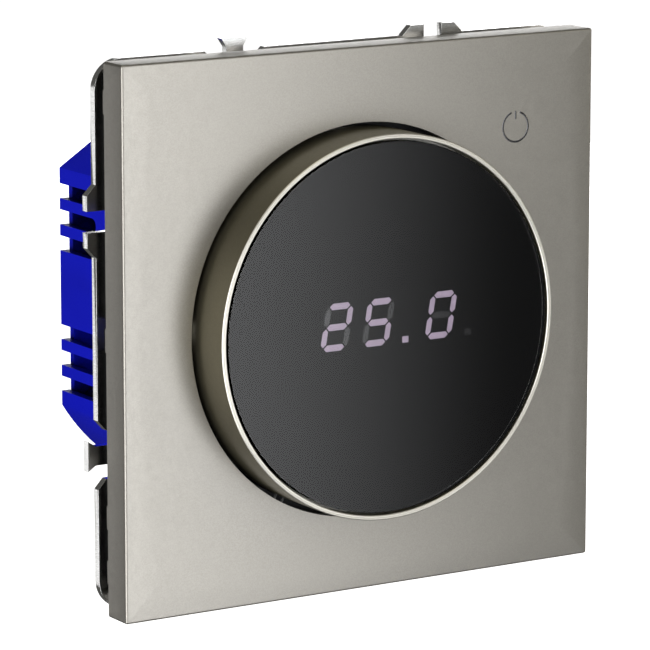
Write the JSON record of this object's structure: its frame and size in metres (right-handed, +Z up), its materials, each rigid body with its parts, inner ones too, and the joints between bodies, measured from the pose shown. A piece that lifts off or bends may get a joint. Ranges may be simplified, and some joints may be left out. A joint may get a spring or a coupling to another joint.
{
  "type": "wall thermostat",
  "caption": "Flush wall thermostat with a square metallic cover, a turning dial round a fixed black display, a steel support frame and a blue body with clamp terminals behind.",
  "frame": {"origin": "centre of the support frame rear face, on the wall, between the wall-box screws", "axes": "+Z up, +X to the right seen from the room, the room on the -Y side, +Y into the wall box"},
  "size_m": [0.0738, 0.0434, 0.0738],
  "materials": {
    "frame_steel": "zinc-plated sheet steel",
    "cover_paint": "champagne metallic lacquer, fine grain, semi-matte",
    "icon_inlay": "dark grey print",
    "dial_metal": "champagne satin, bright bevelled rim",
    "bearing_plastic": "natural acetal",
    "black_plastic": "fine moulded texture",
    "lens": "polished smoked lens",
    "mask_film": "black print",
    "module_plastic": "grey moulding",
    "segment_lit": "lit light guide",
    "segment_dark": "unlit light guide",
    "tinned_pin": "tinned wire",
    "circuit_board": "green solder mask",
    "spring_steel": "spring wire",
    "ribbon_film": "polyimide film",
    "sensor_bead": "epoxy bead",
    "blue_plastic": "deep blue moulding",
    "relay_case": "black case",
    "transformer_case": "potted block",
    "film_case": "yellow case",
    "capacitor_can": "sleeved can",
    "fuse_case": "brown case",
    "varistor_coat": "blue epoxy",
    "terminal_plastic": "dark grey moulding",
    "terminal_brass": "brass strip",
    "clamp_steel": "zinc-plated clamp",
    "zinc_screw": "zinc-plated steel screw"
  },
  "bodies": {
    "body": {"base_screws": "zinc_screw", "board_screws": "zinc_screw", "board_socket": "black_plastic", "busbars": "terminal_brass", "capacitor": "capacitor_can", "cover_plate": "cover_paint", "dark_segments": "segment_dark", "display_hub": "black_plastic", "display_lens": "lens", "display_mask": "mask_film", "display_module": "module_plastic", "display_pins": "tinned_pin", "encoder": "black_plastic", "film_capacitor": "film_case", "front_base": "black_plastic", "front_board": "circuit_board", "fuse": "fuse_case", "header_pins": "tinned_pin", "header_strip": "black_plastic", "housing": "blue_plastic", "hub_screws": "zinc_screw", "lit_segments": "segment_lit", "power_board": "circuit_board", "power_icon": "icon_inlay", "rear_cover": "blue_plastic", "rear_screws": "zinc_screw", "rectifier": "black_plastic", "relay": "relay_case", "sensor_leads": "tinned_pin", "slide_ring": "bearing_plastic", "support_frame": "frame_steel", "temperature_sensor": "sensor_bead", "terminal_block": "terminal_plastic", "touch_board": "circuit_board", "touch_ribbon": "ribbon_film", "touch_spring": "spring_steel", "transformer": "transformer_case", "varistor": "varistor_coat"},
    "dial": {"dial_ring": "dial_metal", "dial_gear": "bearing_plastic"},
    "encoder_pinion": {"encoder_pinion": "bearing_plastic"},
    "terminal_screw_1": {"terminal_screw_1": "zinc_screw"},
    "clamp_cage_1": {"clamp_cage_1": "clamp_steel"},
    "terminal_screw_2": {"terminal_screw_2": "zinc_screw"},
    "clamp_cage_2": {"clamp_cage_2": "clamp_steel"},
    "terminal_screw_3": {"terminal_screw_3": "zinc_screw"},
    "clamp_cage_3": {"clamp_cage_3": "clamp_steel"},
    "terminal_screw_4": {"terminal_screw_4": "zinc_screw"},
    "clamp_cage_4": {"clamp_cage_4": "clamp_steel"}
  },
  "joints": [
    {"name": "dial_turn", "type": "hinge", "parent": "body", "child": "dial", "pos_m": [0, 0, 0], "axis": [0, 1, 0], "continuous": true},
    {"name": "encoder_spin", "type": "hinge", "parent": "body", "child": "encoder_pinion", "pos_m": [0, 0, -0.018], "axis": [0, 1, 0], "continuous": true},
    {"name": "screw_turn_1", "type": "hinge", "parent": "body", "child": "terminal_screw_1", "pos_m": [-0.0084, 0, -0.01935], "axis": [0, -1, 0], "range_deg": [0, 1440]},
    {"name": "cage_lift_1", "type": "slide", "parent": "body", "child": "clamp_cage_1", "axis": [0, 1, 0], "range_m": [0, 0.002]},
    {"name": "screw_turn_2", "type": "hinge", "parent": "body", "child": "terminal_screw_2", "pos_m": [-0.0028, 0, -0.01935], "axis": [0, -1, 0], "range_deg": [0, 1440]},
    {"name": "cage_lift_2", "type": "slide", "parent": "body", "child": "clamp_cage_2", "axis": [0, 1, 0], "range_m": [0, 0.002]},
    {"name": "screw_turn_3", "type": "hinge", "parent": "body", "child": "terminal_screw_3", "pos_m": [0.0028, 0, -0.01935], "axis": [0, -1, 0], "range_deg": [0, 1440]},
    {"name": "cage_lift_3", "type": "slide", "parent": "body", "child": "clamp_cage_3", "axis": [0, 1, 0], "range_m": [0, 0.002]},
    {"name": "screw_turn_4", "type": "hinge", "parent": "body", "child": "terminal_screw_4", "pos_m": [0.0084, 0, -0.01935], "axis": [0, -1, 0], "range_deg": [0, 1440]},
    {"name": "cage_lift_4", "type": "slide", "parent": "body", "child": "clamp_cage_4", "axis": [0, 1, 0], "range_m": [0, 0.002]}
  ],
  "couplings": [
    {"joint": "encoder_spin", "follows": "dial_turn", "ratio": 5.5},
    {"joint": "screw_turn_1", "follows": "cage_lift_1", "rad_per_m": 12566},
    {"joint": "screw_turn_2", "follows": "cage_lift_2", "rad_per_m": 12566},
    {"joint": "screw_turn_3", "follows": "cage_lift_3", "rad_per_m": 12566},
    {"joint": "screw_turn_4", "follows": "cage_lift_4", "rad_per_m": 12566}
  ]
}
